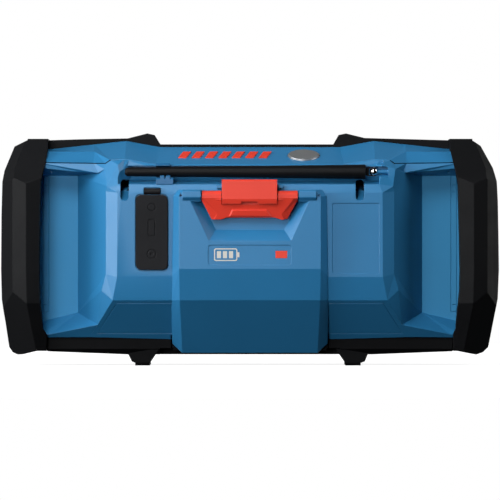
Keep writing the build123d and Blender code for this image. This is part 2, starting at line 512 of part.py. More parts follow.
socket = cyl_x(ANT_Y, ANT_Z, 1.9, 82.2, 86.0) - cyl_x(ANT_Y, ANT_Z, 1.3, 82, 84.9)
node("antenna_socket", socket)
post = cyl_x(ANT_Y, ANT_Z, 1.25, ANT_X, 84.6)
post += (Pos(ANT_X, ANT_Y, ANT_Z) * Sphere(2.64)) & box(60, 90, -60, -30, ANT_Z - 1.9, ANT_Z + 1.9)
post -= cyl_z(ANT_X, ANT_Y, 0.85, ANT_Z - 5, ANT_Z + 5)
node("antenna_post", post)
pin = cyl_z(ANT_X, ANT_Y, 0.8, ANT_Z - 2.65, ANT_Z + 2.65)
node("antenna_pin", pin)
whip_face = Face(Wire.make_polygon([Vector(ANT_TIP_X, 0, 0), Vector(ANT_TIP_X, 1.4, 0), Vector(ANT_TIP_X + 0.8, 2.3, 0),
                                    Vector(ANT_TIP_X + 2.0, ANT_R_TIP, 0), Vector(66.0, ANT_R_BASE - 0.05, 0),
                                    Vector(68.9, ANT_R_BASE, 0), Vector(69.2, ANT_R_BASE - 0.25, 0), Vector(69.2, 0, 0)]))
whip = Part() + Solid.revolve(whip_face, 360, Axis((0, 0, 0), (1, 0, 0)))
whip = Pos(0, ANT_Y, ANT_Z) * whip
whip += box(69.0, 71.2, ANT_Y - 1.7, ANT_Y + 1.7, ANT_Z - 2.3, ANT_Z + 2.3)
for s in (-1, 1):
    z0, z1 = sorted((ANT_Z + s * 1.97, ANT_Z + s * 2.6))
    ear = box(70.2, ANT_X, ANT_Y - 1.5, ANT_Y + 1.5, z0, z1) + cyl_z(ANT_X, ANT_Y, 1.5, z0, z1)
    whip += ear - cyl_z(ANT_X, ANT_Y, 0.82, ANT_Z - 5, ANT_Z + 5)
node("antenna_whip", whip)

# ------------------------------------------------------------- battery door
DZ = [105.4, 58.1, 39.4, 7.7]
outer = hull([(sx * 42.3, DOOR_Y, 101.4) for sx in (-1, 1)] + [(sx * 39.6, DOOR_Y, 103.8) for sx in (-1, 1)]
             + [(sx * 40.2, DOOR_Y + 1.8, DZ[0]) for sx in (-1, 1)]
             + [(sx * 44.3, -50, DZ[0]) for sx in (-1, 1)] + [(sx * 47.1, -50, 101.8) for sx in (-1, 1)]
             + [(sx * 42.3, DOOR_Y, DZ[1]) for sx in (-1, 1)] + [(sx * 47.1, -51.6, 53.2) for sx in (-1, 1)]
             + [(sx * 42.0, -53, DZ[2]) for sx in (-1, 1)] + [(sx * 47.1, -48.0, 39.3) for sx in (-1, 1)]
             + [(sx * 40.6, -27.4, DZ[3]) for sx in (-1, 1)] + [(sx * 46.6, -27.6, 13.5) for sx in (-1, 1)]
             + [(sx * 46.0, -20, 10.9) for sx in (-1, 1)] + [(sx * 41.6, -20, DZ[3]) for sx in (-1, 1)]
             + [(sx * 44, -20, 100) for sx in (-1, 1)])
inner = hull([(sx * 39.6, DOOR_Y + 2.6, 102.6) for sx in (-1, 1)] + [(sx * 41, -40, 102.6) for sx in (-1, 1)]
             + [(sx * 39.6, DOOR_Y + 2.6, DZ[1] + 0.4) for sx in (-1, 1)]
             + [(sx * 39.6, -50.2, 40.6) for sx in (-1, 1)]
             + [(sx * 39.0, -29.4, 15.2) for sx in (-1, 1)] + [(sx * 39.0, -20, 15.2) for sx in (-1, 1)])
body_clear = prism_x([(-52.0 - GAP, 110), (-52.0 - GAP, 53.1), (-48.0 - GAP - 0.05, 39.1),
                      (low(339.3) - GAP - 0.1, 15.6), (-26.0 - GAP, 14), (-26.0 - GAP, 4), (0, 4), (0, 110)], -60, 60)
door = outer - inner - body_clear
door -= box(-60, 60, -26.4, 0, 0, 110)

# recess for the latch and fingers, with its pan behind
recess = hull([(-28.95, -52.8, 98.7), (28.75, -52.8, 98.7), (-20.4, -52.8, 81.5), (20.4, -52.8, 81.5),
               (-35.8, DOOR_Y - 0.1, 98.6), (35.5, DOOR_Y - 0.1, 98.6), (-24.7, DOOR_Y - 0.1, 74.8), (24.7, DOOR_Y - 0.1, 74.8)])
recess += box(-29.3, 29.1, -64, -54.2, 96, 108)
pan = hull([(-31.2, -50.4, 101.0), (31.0, -50.4, 101.0), (-22.5, -50.4, 79.2), (22.5, -50.4, 79.2),
            (-37.9, DOOR_Y + 0.5, 101.0), (37.7, DOOR_Y + 0.5, 101.0), (-27.4, DOOR_Y + 0.5, 72.2), (27.4, DOOR_Y + 0.5, 72.2)])
pan += box(-38, 38, DOOR_Y + 0.5, -52.4, 96, 105.4)
door = door + pan - recess
# bearing bars either side of the lever
for x0, x1 in ((-40.3, -29.35), (29.15, 39.6)):
    door += prism_x([(-54, 98.1), (-58.2, 98.1), (-60.8, 100.7), (-61.0, 101.5), (-60.7, 104.6), (-59.6, 105.3), (-54, 105.3)], x0, x1)
door -= cyl_x(LEVER_Y, LEVER_Z, 1.05, -41.7, 41.0)
door -= rbox_y(gx(208.3), gx(290.9), gz(265.0), gz(245.1), 1.6, DOOR_Y - 1, DOOR_Y + 0.3)
for sx in (-1, 1):
    door -= cyl_y(sx * 41.5, 101.9, 0.75, -62, -57.6)
# plain battery mark in the name recess: outline, terminal and three bars
mark = rbox_y(-21.5, -7.5, 62.8, 70.4, 1.2, -60, DOOR_Y + 0.55) - rbox_y(-20.8, -8.2, 63.5, 69.7, 0.7, -61, DOOR_Y + 2)
mark += box(-7.5, -6.3, -60, DOOR_Y + 0.55, 65.1, 68.1)
for x0 in (-19.8, -16.2, -12.6):
    mark += box(x0, x0 + 2.5, -60, DOOR_Y + 0.55, 64.5, 68.7)
door -= mark
door -= box(15.2, 22.3, -60, DOOR_Y + 0.55, 64.5, 68.9)
# hinge knuckles
for x0, x1 in ((-38, -29), (-13, -5), (5, 13), (29, 38)):
    k = cyl_x(HINGE_Y, HINGE_Z, 3.1, x0, x1)
    k += hull([(x, y, z) for x in (x0, x1) for y, z in
               [(HINGE_Y, HINGE_Z + 2.9), (HINGE_Y - 0.5, HINGE_Z - 3.0), (-29.2, 13.2), (-30.8, 15.2), (-29.6, 17.4)]])
    k -= cyl_x(HINGE_Y, HINGE_Z, 1.56, x0 - 1, x1 + 1)
    door += k
node("battery_door", door)
node("latch_pin", cyl_x(LEVER_Y, LEVER_Z, 1.0, -41.6, 40.9))

# -------------------------------------------------------------- latch lever
LEVER_OUTLINE = [(202.4, 198.0), (297.2, 198.0), (296.9, 201.2), (287.3, 218.6), (282.2, 220.1), (274, 217.6),
                 (227.1, 217.6), (221, 219.6), (211.8, 219.6), (202.2, 201.2)]
LEVER_TILT = math.tan(math.radians(17))


def lever_y(z):
    return -60.6 + (100.8 - z) * LEVER_TILT


lever = prism_y([(gx(u), gz(v)) for u, v in LEVER_OUTLINE], -64, -50)
lever = lever & prism_x([(lever_y(104), 104), (lever_y(84), 84), (lever_y(84) + 2.7, 84), (lever_y(104) + 2.7, 104)], -40, 40)
# bevelled ends
lever -= hull([(x, y, z) for x, y, z in [(gx(296.9), -58.7, gz(201)), (gx(289.5), -62.5, gz(196)), (gx(281.5), lever_y(gz(214.5)), gz(214.5)),
               (gx(286), lever_y(gz(222)) + 1.2, gz(222)), (gx(300), -57.5, gz(205)), (gx(300), -66, gz(190)), (gx(280), -66, gz(222)),
               (gx(300), -66, gz(222))]])
lever -= hull([(x, y, z) for x, y, z in [(gx(202.2), -58.9, gz(201)), (gx(207.5), -62.5, gz(196)), (gx(217.5), lever_y(gz(214.5)), gz(214.5)),
               (gx(212), lever_y(gz(222)) + 1.2, gz(222)), (gx(199), -57.5, gz(205)), (gx(199), -66, gz(190)), (gx(219), -66, gz(222)),
               (gx(199), -66, gz(222))]])
lever += prism_x([(-60.3, 100), (-60.3, 102.6), (-59.2, 104.3), (-57.5, 104.8), (-55.3, 102.6), (-56.4, 100.6), (-57.6, 98.4)], -28.7, 28.5)
lever += cyl_x(LEVER_Y, LEVER_Z, 2.2, -28.7, 28.5)
lever += prism_x([(-57.6, 94.8), (-55.3, 95.6), (-55.3, 100.6), (-56.6, 101.6)], -19.6, 19.0)
lever -= box(-17.2, 16.6, -70, -58.35, 97.3, 108)
lever -= prism_x([(-64, 96.5), (-57.4, 96.5), (-57.15, 98.4), (-57.9, 100.6), (-64, 100.6)], -17.2, 16.6)
lever -= cyl_x(LEVER_Y, LEVER_Z, 1.04, -30, 30)
for x0, x1 in ((-20.2, -17.2), (16.6, 19.6)):
    lever += cyl_x(HOOK_Y, HOOK_Z, 0.8, x0, x1)
lever -= cyl_x(HOOK_Y, HOOK_Z, 0.55, -19.4, 18.8)
# raised ridge across the lower half
lever += hull([(gx(u), lever_y(gz(v)) + d, gz(v)) for u, v, d in
               [(228.6, 216.6, 0.2), (231.7, 209.6, 0.2), (267.4, 209.6, 0.2), (273.0, 217.2, 0.2),
                (230.6, 215.9, -0.8), (232.9, 210.8, -0.8), (266.2, 210.8, -0.8), (270.4, 216.3, -0.8)]])
node("latch_lever", lever)
node("hook_pin", cyl_x(HOOK_Y, HOOK_Z, 0.52, -19.4, 18.8))

hook = prism_x([(-62.0, 99.8), (-62.0, 110.6), (-61.2, 111.5), (-55.6, 111.5), (-55.6, 109.75), (-59.6, 109.75),
                (-59.75, 104), (-58.75, 101.2), (-58.75, 98.7), (-60.3, 97.0), (-61.1, 97.0)], -16.8, 16.2)
hook -= cyl_x(HOOK_Y, HOOK_Z, 0.56, -20, 20)
hook -= box(gx(241.4), gx(257.8), -63, -50, 90, 98.3)
node("latch_hook", hook)

strike = prism_x([(-57.5, 106.3), (-57.5, 108.2), (-57.0, 108.6), (-54.5, 108.6), (-54.0, 108.2), (-51.4, 108.2),
                  (-51.4, 106.3)], -19.9, 19.7)
strike = strike - rear_outer
strike += box(-19.9, 19.7, -51.6, -50.8, 106.3, 108.2) - rear_outer
node("strike_bar", strike)

# ------------------------------------------------------------ loudspeakers
for side, sx in (("left", -1), ("right", 1)):
    x = sx * SPK_X
    basket = cyl_y(x, SPK_Z, 40, 43.2, 45.4)
    cone_o = Pos(x, 34.5, SPK_Z) * Rot(-90, 0, 0) * Cone(20, 41, 21)
    cone_i = Pos(x, 34.5, SPK_Z) * Rot(-90, 0, 0) * Cone(17.5, 38.5, 21.4)
    basket += cone_o - cone_i
    basket -= cyl_y(x, SPK_Z, 36.0, 41.0, 47)
    basket += cyl_y(x, SPK_Z, 21, 22.0, 25.0) - cyl_y(x, SPK_Z, 13, 21, 26)
    for k in range(4):
        ang = 45 + 90 * k
        basket -= Pos(x, 34.5, SPK_Z) * Rot(0, ang, 0) * Pos(29, 0, 0) * Box(16, 12, 22)
    node(f"{side}_speaker_basket", basket)
    cone = Pos(x, 35.5, SPK_Z) * Rot(-90, 0, 0) * Cone(12, 29, 11)
    cone -= Pos(x, 36.4, SPK_Z) * Rot(-90, 0, 0) * Cone(11.4, 29, 11)
    cone += (Pos(x, 31.0, SPK_Z) * Sphere(12.5)) & cyl_y(x, SPK_Z, 12.0, 33.5, 45)
    cone += cyl_y(x, SPK_Z, 12.6, 25, 31) - cyl_y(x, SPK_Z, 11.6, 24, 30.2)
    cone += cyl_y(x, SPK_Z, 12.4, 29.9, 34.0)
    node(f"{side}_speaker_cone", cone)
    sur = Pos(x, 41.2, SPK_Z) * Rot(90, 0, 0) * Torus(32.3, 3.3)
    sur = sur & cyl_y(x, SPK_Z, 36, 41.1, 46)
    sur -= (Pos(x, 41.1, SPK_Z) * Rot(90, 0, 0) * Torus(32.3, 2.5))
    node(f"{side}_speaker_surround", sur)
    mag = cyl_y(x, SPK_Z, 20, 8, 22) - (cyl_y(x, SPK_Z, 13.0, 13, 23) - cyl_y(x, SPK_Z, 11.2, 12, 24))
    mag += cyl_y(x, SPK_Z, 11.2, 20, 26)
    node(f"{side}_speaker_magnet", mag)
    g = rbox_y(min(sx * 122.2, sx * 42.8), max(sx * 122.2, sx * 42.8), 16.8, 124.7, 5.8, 48.0, 50.0)
    for k in range(13):
        z = SPK_Z - 42 + 7.0 * k
        w = 31 + 0.0 * k
        if abs(z - SPK_Z) < 44:
            w = min(34, 14 + math.sqrt(max(0, 45 ** 2 - (z - SPK_Z) ** 2)) * 0.62)
            pl = Plane(origin=(x, 47, z), x_dir=(1, 0, 0), z_dir=(0, 1, 0))
            g -= extrude(pl * SlotOverall(2 * w, 3.2), amount=5)
    node(f"{side}_grille", g)

# ------------------------------------------------------------ control panel
cp = rbox_y(-40.5, 40.5, 16.5, 126.0, 5, Y_FRONT, 53.0)
cp -= rbox_y(-30, 30, 92, 118, 2.0, 49, 54)
BTN = {"power_button": (-24, 82), "source_button": (0, 82), "menu_button": (24, 82),
       "preset_button_1": (-24, 70), "preset_button_2": (0, 70), "preset_button_3": (24, 70)}
for name, (x, z) in BTN.items():
    cp -= rbox_y(x - 9.0, x + 9.0, z - 3.5, z + 3.5, 2.0, 49, 54)
cp -= cyl_y(0, KNOB_Z, 4.6, 49, 54)
node("control_panel", cp)
for name, (x, z) in BTN.items():
    b = rbox_y(x - 8.65, x + 8.65, z - 3.15, z + 3.15, 1.7, 49.0, 54.8)
    b += box(x - 10, x + 10, 48.2, 49.6, z - 4.6, z + 4.6)
    node(name, b)
node("display_lens", rbox_y(-29.9, 29.9, 92.1, 117.9, 1.9, 51.4, 52.8))
node("display_module", box(-31, 31, 44.5, 49.8, 90, 120) + rbox_y(-29.5, 29.5, 92.4, 117.6, 1.6, 49.7, 51.4))
node("button_board", box(-36, 36, 43.0, 44.5, 62, 120.5) + box(-26, -22, 44.5, 46.8, 80, 84)
     + box(-2, 2, 44.5, 46.8, 80, 84) + box(22, 26, 44.5, 46.8, 80, 84)
     + box(-26, -22, 44.5, 46.8, 68, 72) + box(-2, 2, 44.5, 46.8, 68, 72) + box(22, 26, 44.5, 46.8, 68, 72))
enc = box(-7, 7, 40, 47, KNOB_Z - 7, KNOB_Z + 7) + cyl_y(0, KNOB_Z, 4.5, 47, 52.6) + cyl_y(0, KNOB_Z, 3.0, 52.5, 60.2)
node("rotary_encoder", enc)
knob = cyl_y(0, KNOB_Z, KNOB_R, 53.5, 60.8)
knob += Pos(0, 61.4, KNOB_Z) * Rot(-90, 0, 0) * Cone(KNOB_R, KNOB_R - 1.4, 1.2)
for k in range(24):
    knob -= Pos(0, 57, KNOB_Z) * Rot(0, 15 * k, 0) * Pos(KNOB_R + 0.35, 0, 0) * Rot(90, 0, 0) * Cylinder(0.9, 8)
knob -= cyl_y(0, KNOB_Z, 3.05, 50, 60.5)
knob -= cyl_y(0, KNOB_Z, 5.2, 50, 54.2)
node("volume_knob", knob)
node("main_board", box(-38, 38, 18.5, 20.1, 26, 118) + box(-8, 14, 20.1, 23, 60, 78) + box(-30, -16, 20.1, 26, 84, 100)
     + box(18, 30, 20.1, 30, 40, 54))

# --------------------------------------------------------------- top pieces
node("top_badge", extrude(badge_pl * Circle(9.55), amount=0.5, both=True)
     + extrude(badge_pl * Circle(8.9), amount=0.9))

# ------------------------------------------------------------------- export
for name, part in PARTS.items():
    export_step(part if isinstance(part, Compound) else Part() + part, f"parts/{name}.step")
    bb = part.bounding_box()
    print(f"{name:26s} solids {len(part.solids()):2d} vol {part.volume:10.1f}  "
          f"x {bb.min.X:7.1f} {bb.max.X:7.1f} y {bb.min.Y:7.1f} {bb.max.Y:7.1f} z {bb.min.Z:7.1f} {bb.max.Z:7.1f}")
print(len(PARTS), "nodes")
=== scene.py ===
import json
import math

import bmesh
import bpy
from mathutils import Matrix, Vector
from mathutils.bvhtree import BVHTree

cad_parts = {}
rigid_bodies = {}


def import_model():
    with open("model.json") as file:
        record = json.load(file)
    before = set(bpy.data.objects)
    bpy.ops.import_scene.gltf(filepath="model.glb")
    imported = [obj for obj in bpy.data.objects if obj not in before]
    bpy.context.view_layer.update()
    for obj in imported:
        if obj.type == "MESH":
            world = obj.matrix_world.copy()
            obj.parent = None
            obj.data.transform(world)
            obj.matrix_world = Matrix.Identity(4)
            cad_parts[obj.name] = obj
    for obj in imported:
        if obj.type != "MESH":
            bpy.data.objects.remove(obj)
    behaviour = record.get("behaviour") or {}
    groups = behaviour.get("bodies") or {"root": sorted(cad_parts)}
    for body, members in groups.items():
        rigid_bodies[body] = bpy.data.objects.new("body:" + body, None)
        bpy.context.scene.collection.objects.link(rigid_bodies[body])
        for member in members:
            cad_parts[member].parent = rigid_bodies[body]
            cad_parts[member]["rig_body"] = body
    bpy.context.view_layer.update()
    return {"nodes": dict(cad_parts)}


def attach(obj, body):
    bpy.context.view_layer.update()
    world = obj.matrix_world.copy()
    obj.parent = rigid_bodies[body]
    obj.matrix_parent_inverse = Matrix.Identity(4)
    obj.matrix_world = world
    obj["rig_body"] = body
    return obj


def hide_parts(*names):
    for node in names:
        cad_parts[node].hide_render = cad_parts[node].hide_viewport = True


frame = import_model()
scene = bpy.context.scene
MM = 0.001


# ------------------------------------------------------------------ materials
def new_material(name):
    m = bpy.data.materials.new(name)
    m.use_nodes = True
    m.node_tree.nodes.clear()
    return m, m.node_tree.nodes, m.node_tree.links


def noise(nodes, links, scale, detail=3.0, rough=0.55, stretch=None):
    """Noise texture in the object's own coordinates, which are the frame's at rest."""
    co = nodes.new("ShaderNodeTexCoord")
    n = nodes.new("ShaderNodeTexNoise")
    n.inputs["Scale"].default_value = scale
    n.inputs["Detail"].default_value = detail
    n.inputs["Roughness"].default_value = rough
    if stretch:
        mp = nodes.new("ShaderNodeMapping")
        mp.inputs["Scale"].default_value = stretch
        links.new(co.outputs["Object"], mp.inputs["Vector"])
        links.new(mp.outputs["Vector"], n.inputs["Vector"])
    else:
        links.new(co.outputs["Object"], n.inputs["Vector"])
    return n.outputs["Fac"]


def ranged(nodes, links, value, lo, hi, a, b):
    r = nodes.new("ShaderNodeMapRange")
    r.clamp = True
    r.inputs["From Min"].default_value = lo
    r.inputs["From Max"].default_value = hi
    r.inputs["To Min"].default_value = a
    r.inputs["To Max"].default_value = b
    links.new(value, r.inputs["Value"])
    return r.outputs["Result"]


def mixed(nodes, links, fac, a, b):
    m = nodes.new("ShaderNodeMix")
    m.data_type = "RGBA"
    if isinstance(fac, float):
        m.inputs[0].default_value = fac
    else:
        links.new(fac, m.inputs[0])
    for socket, v in ((m.inputs[6], a), (m.inputs[7], b)):
        if isinstance(v, tuple):
            socket.default_value = (*v, 1.0)
        else:
            links.new(v, socket)
    return m.outputs[2]


def surface(name, colour, rough, metal=0.0, spec=0.5, grain=0.12, grain_scale=2600.0, vary=0.10,
            wear=None, wear_amount=0.0, coat=0.0, dust=0.0, emit=0.0, brushed=None, transmission=0.0, ior=1.46, round_mm=0.0, painted_shade_heights=None):
    """Moulded or metal finish: colour varied over centimetres, fine grain in height and gloss, scuffs of the wear
    colour; given two heights, a painted shade darkens the colour to near-black and takes the gloss away going up
    between them.
    """
    m, nodes, links = new_material(name)
    out = nodes.new("ShaderNodeOutputMaterial")
    p = nodes.new("ShaderNodeBsdfPrincipled")
    links.new(p.outputs["BSDF"], out.inputs["Surface"])
    broad = noise(nodes, links, 23.0, 2.0)
    fine = noise(nodes, links, grain_scale, 2.0, 0.6, brushed)
    dark = tuple(c * (1.0 - vary) for c in colour)
    light = tuple(min(1.0, c * (1.0 + vary)) for c in colour)
    col = mixed(nodes, links, ranged(nodes, links, broad, 0.3, 0.7, 0.0, 1.0), dark, light)
    col = mixed(nodes, links, ranged(nodes, links, fine, 0.35, 0.75, 0.0, 0.22), col, tuple(c * 0.8 for c in colour))
    soft = None
    if round_mm > 0:
        soft = nodes.new("ShaderNodeBevel")
        soft.samples = 6
        soft.inputs["Radius"].default_value = round_mm * MM
        soft = soft.outputs["Normal"]
    if wear is not None and wear_amount > 0:
        patch = noise(nodes, links, 190.0, 4.0, 0.7)
        amount = ranged(nodes, links, patch, 0.46, 0.70, 0.0, wear_amount)
        if soft is not None:
            geo = nodes.new("ShaderNodeNewGeometry")
            dot = nodes.new("ShaderNodeVectorMath")
            dot.operation = "DOT_PRODUCT"
            links.new(geo.outputs["True Normal"], dot.inputs[0])
            links.new(soft, dot.inputs[1])
            both = nodes.new("ShaderNodeMath")
            both.operation = "MULTIPLY"
            links.new(ranged(nodes, links, dot.outputs["Value"], 0.985, 0.90, 0.0, 1.0), both.inputs[0])
            links.new(amount, both.inputs[1])
            amount = both.outputs[0]
        col = mixed(nodes, links, amount, col, wear)
    if dust > 0:
        specks = noise(nodes, links, 900.0, 2.0, 0.5)
        col = mixed(nodes, links, ranged(nodes, links, specks, 0.66, 0.78, 0.0, dust), col, (0.45, 0.44, 0.42))
    # painted shade: between the two heights the colour darkens to near-black and the gloss goes, standing in for the
    # shade deep in the slot tops
    if painted_shade_heights is not None:
        place = nodes.new("ShaderNodeTexCoord")
        height = nodes.new("ShaderNodeSeparateXYZ")
        links.new(place.outputs["Object"], height.inputs[0])
        up = height.outputs["Z"]
        col = mixed(nodes, links, ranged(nodes, links, up, painted_shade_heights[0] * MM, painted_shade_heights[1] * MM, 0.0, 1.0), col, tuple(c * 0.03 for c in colour))
        links.new(ranged(nodes, links, up, painted_shade_heights[0] * MM, painted_shade_heights[1] * MM, spec, 0.0), p.inputs["Specular IOR Level"])
    links.new(col, p.inputs["Base Color"])
    gloss = noise(nodes, links, 70.0, 4.0, 0.6)
    links.new(ranged(nodes, links, gloss, 0.3, 0.7, rough * 0.93, rough * 1.07), p.inputs["Roughness"])
    p.inputs["Metallic"].default_value = metal
    if painted_shade_heights is None:
        p.inputs["Specular IOR Level"].default_value = spec
    p.inputs["IOR"].default_value = ior
    p.inputs["Coat Weight"].default_value = coat
    p.inputs["Coat Roughness"].default_value = 0.12
    p.inputs["Transmission Weight"].default_value = transmission
    if emit > 0:
        p.inputs["Emission Color"].default_value = (*colour, 1.0)
        p.inputs["Emission Strength"].default_value = emit
    if grain > 0:
        b = nodes.new("ShaderNodeBump")
        b.inputs["Strength"].default_value = grain
        b.inputs["Distance"].default_value = 0.00012
        links.new(fine, b.inputs["Height"])
        if soft is not None:
            links.new(soft, b.inputs["Normal"])
        links.new(b.outputs["Normal"], p.inputs["Normal"])
    elif soft is not None:
        links.new(soft, p.inputs["Normal"])
    return m


def pair(name, colour, rough, edge, edge_amount=0.8, **kw):
    """A finish and its edge finish, which is the same material rubbed lighter where hands and floors touch it.
    With round_mm, one material does both: it rounds the shading of edges and rubs them."""
    if kw.get("round_mm"):
        m = surface(name, colour, rough, wear=edge, wear_amount=edge_amount, **kw)
        return m, m
    base = surface(name, colour, rough, **kw)
    kw2 = dict(kw)
    kw2.update(wear=edge, wear_amount=edge_amount)
    return base, surface(name + "_edge", colour, rough * 0.95, **kw2)


BLUE = pair("blue_shell", (0.0240, 0.192, 0.415), 0.38, (0.10, 0.36, 0.58), 0.22, grain=0.06, vary=0.03, spec=0.45, ior=1.5, round_mm=0.40)
RUBBER = pair("bumper_rubber_mat", (0.0050, 0.0054, 0.0064), 0.58, (0.022, 0.022, 0.025), 0.4, grain=0.25, grain_scale=1800.0,
              vary=0.14, dust=0.0, spec=0.15, round_mm=0.9)
FLAP = pair("flap_rubber_mat", (0.0085, 0.0090, 0.0110), 0.55, (0.05, 0.05, 0.055), 0.5, grain=0.25, grain_scale=2000.0,
            vary=0.12, dust=0.0, spec=0.18, round_mm=0.4)
WHIP = pair("whip_mat", (0.0060, 0.0064, 0.0074), 0.42, (0.04, 0.04, 0.045), 0.4, grain=0.12, vary=0.10, spec=0.15)
FRAME = pair("frame_mat", (0.0044, 0.0047, 0.0054), 0.55, (0.025, 0.025, 0.027), 0.4, grain=0.20, vary=0.12, spec=0.12, round_mm=0.5)
BASE = pair("base_mat", (0.0038, 0.0041, 0.0048), 0.58, (0.020, 0.020, 0.022), 0.35, grain=0.20, vary=0.12, spec=0.07, round_mm=0.5)
FOOT = pair("foot_mat", (0.0032, 0.0034, 0.0038), 0.62, (0.016, 0.016, 0.017), 0.3, grain=0.20, vary=0.12, spec=0.05, round_mm=0.4)
# painted shade: the clip is the shell's blue made darker, standing in for the shade under the antenna
CLIP_SHADED = pair("clip_painted_shade_mat", (0.0130, 0.118, 0.275), 0.40, (0.06, 0.26, 0.46), 0.30, grain=0.06, vary=0.03, spec=0.45, ior=1.5, round_mm=0.30)
# painted light: the shell's blue made lighter and less glossy for the grip recess floors, standing in for light falling
# there
RECESS_PAINTED_LIGHT = surface("recess_floor_painted_light_mat", (0.0410, 0.275, 0.545), 0.50, spec=0.20, grain=0.06, vary=0.03, ior=1.5, round_mm=0.40)
# slot floor wedges in the shell blue with painted shade: near-black from 105.6 mm up to 108.8 mm, for the shade deep in
# the slot tops
SLOT_FLOOR_SHADED = surface("slot_floor_painted_shade_mat", (0.0240, 0.192, 0.415), 0.44, spec=0.45, grain=0.06, vary=0.03, ior=1.5, painted_shade_heights=(105.6, 108.8))
# near-black: the dark colour of the top joint line, and painted shade on the deep upper slot ends
GAP_AND_SHADE = surface("joint_shadow_mat", (0.0010, 0.0090, 0.0210), 0.75, spec=0.1, grain=0.1, vary=0.10)
BLACK = pair("black_plastic_mat", (0.0075, 0.0080, 0.0088), 0.48, (0.06, 0.06, 0.062), 0.5, grain=0.18, vary=0.12, dust=0.01)
RED = pair("red_plastic_mat", (0.800, 0.050, 0.026), 0.42, (0.90, 0.20, 0.14), 0.30, grain=0.07, vary=0.05, dust=0.0, round_mm=0.30, spec=0.45)
STEEL = pair("steel_mat", (0.50, 0.50, 0.51), 0.32, (0.75, 0.75, 0.76), 0.5, metal=1.0, grain=0.08, vary=0.08,
             brushed=(1.0, 12.0, 12.0))
DARK_STEEL = pair("dark_steel_mat", (0.10, 0.10, 0.105), 0.38, (0.4, 0.4, 0.4), 0.5, metal=1.0, grain=0.1, vary=0.1)
CHROME = pair("chrome_mat", (0.72, 0.73, 0.75), 0.14, (0.9, 0.9, 0.9), 0.3, metal=1.0, grain=0.02, vary=0.03)
GRILLE = pair("grille_mat", (0.030, 0.031, 0.034), 0.42, (0.16, 0.16, 0.17), 0.5, metal=0.6, grain=0.15, vary=0.1)
BUTTON = pair("button_mat", (0.022, 0.023, 0.026), 0.50, (0.10, 0.10, 0.10), 0.4, grain=0.15, vary=0.08)
KNOB = pair("knob_mat", (0.014, 0.0145, 0.016), 0.46, (0.10, 0.10, 0.10), 0.5, grain=0.16, vary=0.1)
CONE = pair("cone_paper_mat", (0.020, 0.020, 0.021), 0.82, (0.05, 0.05, 0.05), 0.4, grain=0.6, grain_scale=1500.0, vary=0.2)
BOARD = pair("board_mat", (0.012, 0.085, 0.035), 0.45, (0.10, 0.22, 0.12), 0.4, grain=0.10, vary=0.12)
LENS = pair("lens_mat", (0.018, 0.022, 0.024), 0.10, (0.08, 0.09, 0.10), 0.2, grain=0.0, vary=0.05, coat=0.6)
SILVER = pair("silver_mat", (0.52, 0.54, 0.56), 0.40, (0.7, 0.7, 0.7), 0.4, metal=0.85, grain=0.05, vary=0.06)
PRINT = pair("print_mat", (0.66, 0.65, 0.60), 0.55, (0.75, 0.74, 0.70), 0.3, grain=0.05, vary=0.05, spec=0.3)
GLOW = pair("digits_mat", (0.42, 0.72, 0.78), 0.40, (0.5, 0.8, 0.85), 0.2, grain=0.02, vary=0.05, emit=0.8)
SCREEN = pair("screen_mat", (0.10, 0.135, 0.095), 0.35, (0.15, 0.2, 0.15), 0.2, grain=0.03, vary=0.08)


# ------------------------------------------------------------------- geometry
def width_of(f):
    return f.calc_area() / max(e.calc_length() for e in f.edges)


def clean(bm, flat=0.6):
    bmesh.ops.remove_doubles(bm, verts=bm.verts[:], dist=2e-6)
    bmesh.ops.dissolve_degenerate(bm, dist=2e-6, edges=bm.edges[:])
    bmesh.ops.dissolve_limit(bm, angle_limit=math.radians(flat), use_dissolve_boundaries=False,
                             verts=bm.verts[:], edges=bm.edges[:], delimit=set())
    many = [f for f in bm.faces if len(f.verts) > 14]
    if many:
        bmesh.ops.triangulate(bm, faces=many, quad_method="BEAUTY", ngon_method="BEAUTY")


def reach(e, f):
    """How far face f goes from edge e, square to it."""
    a, b = e.verts[0].co, e.verts[1].co
    d = (b - a).normalized()
    best = 0.0
    for v in f.verts:
        r = v.co - a
        best = max(best, (r - d * r.dot(d)).length)
    return best


def weigh(bm, w, curve_angle=27.0, strip=1.7 * MM, concave=False):
    """Marks the sharp edges, and weighs those with room for a bevel of width w."""
    layer = bm.edges.layers.float.get("bevel_weight_edge") or bm.edges.layers.float.new("bevel_weight_edge")
    sizes = {f: width_of(f) for f in bm.faces}
    for f in bm.faces:
        f.smooth = True
    sharp = set()
    for e in bm.edges:
        e[layer] = 0.0
        e.smooth = True
        if len(e.link_faces) != 2:
            continue
        a = math.degrees(e.calc_face_angle(0.0))
        small = min(sizes[f] for f in e.link_faces)
        if a < 5.0 or (a < curve_angle and small < strip):
            continue
        e.smooth = False
        sharp.add(e)
    for e in sharp:
        if w <= 0 or not (e.is_convex or concave):
            continue
        small = min(reach(e, f) for f in e.link_faces)
        here = (e.verts[1].co - e.verts[0].co).normalized()
        room = 1.0 if small > 2.4 * w else (0.4 if small > 1.1 * w else 0.0)
        for v in e.verts:
            for o in v.link_edges:
                if o is e or room == 0.0:
                    continue
                ln = o.calc_length()
                if ln < 1.5 * w and abs((o.verts[1].co - o.verts[0].co).normalized().dot(here)) < 0.85:
                    room = min(room, 0.4 if ln > 0.8 * w else 0.0)
        if room > 0:
            e[layer] = room
            e.smooth = True


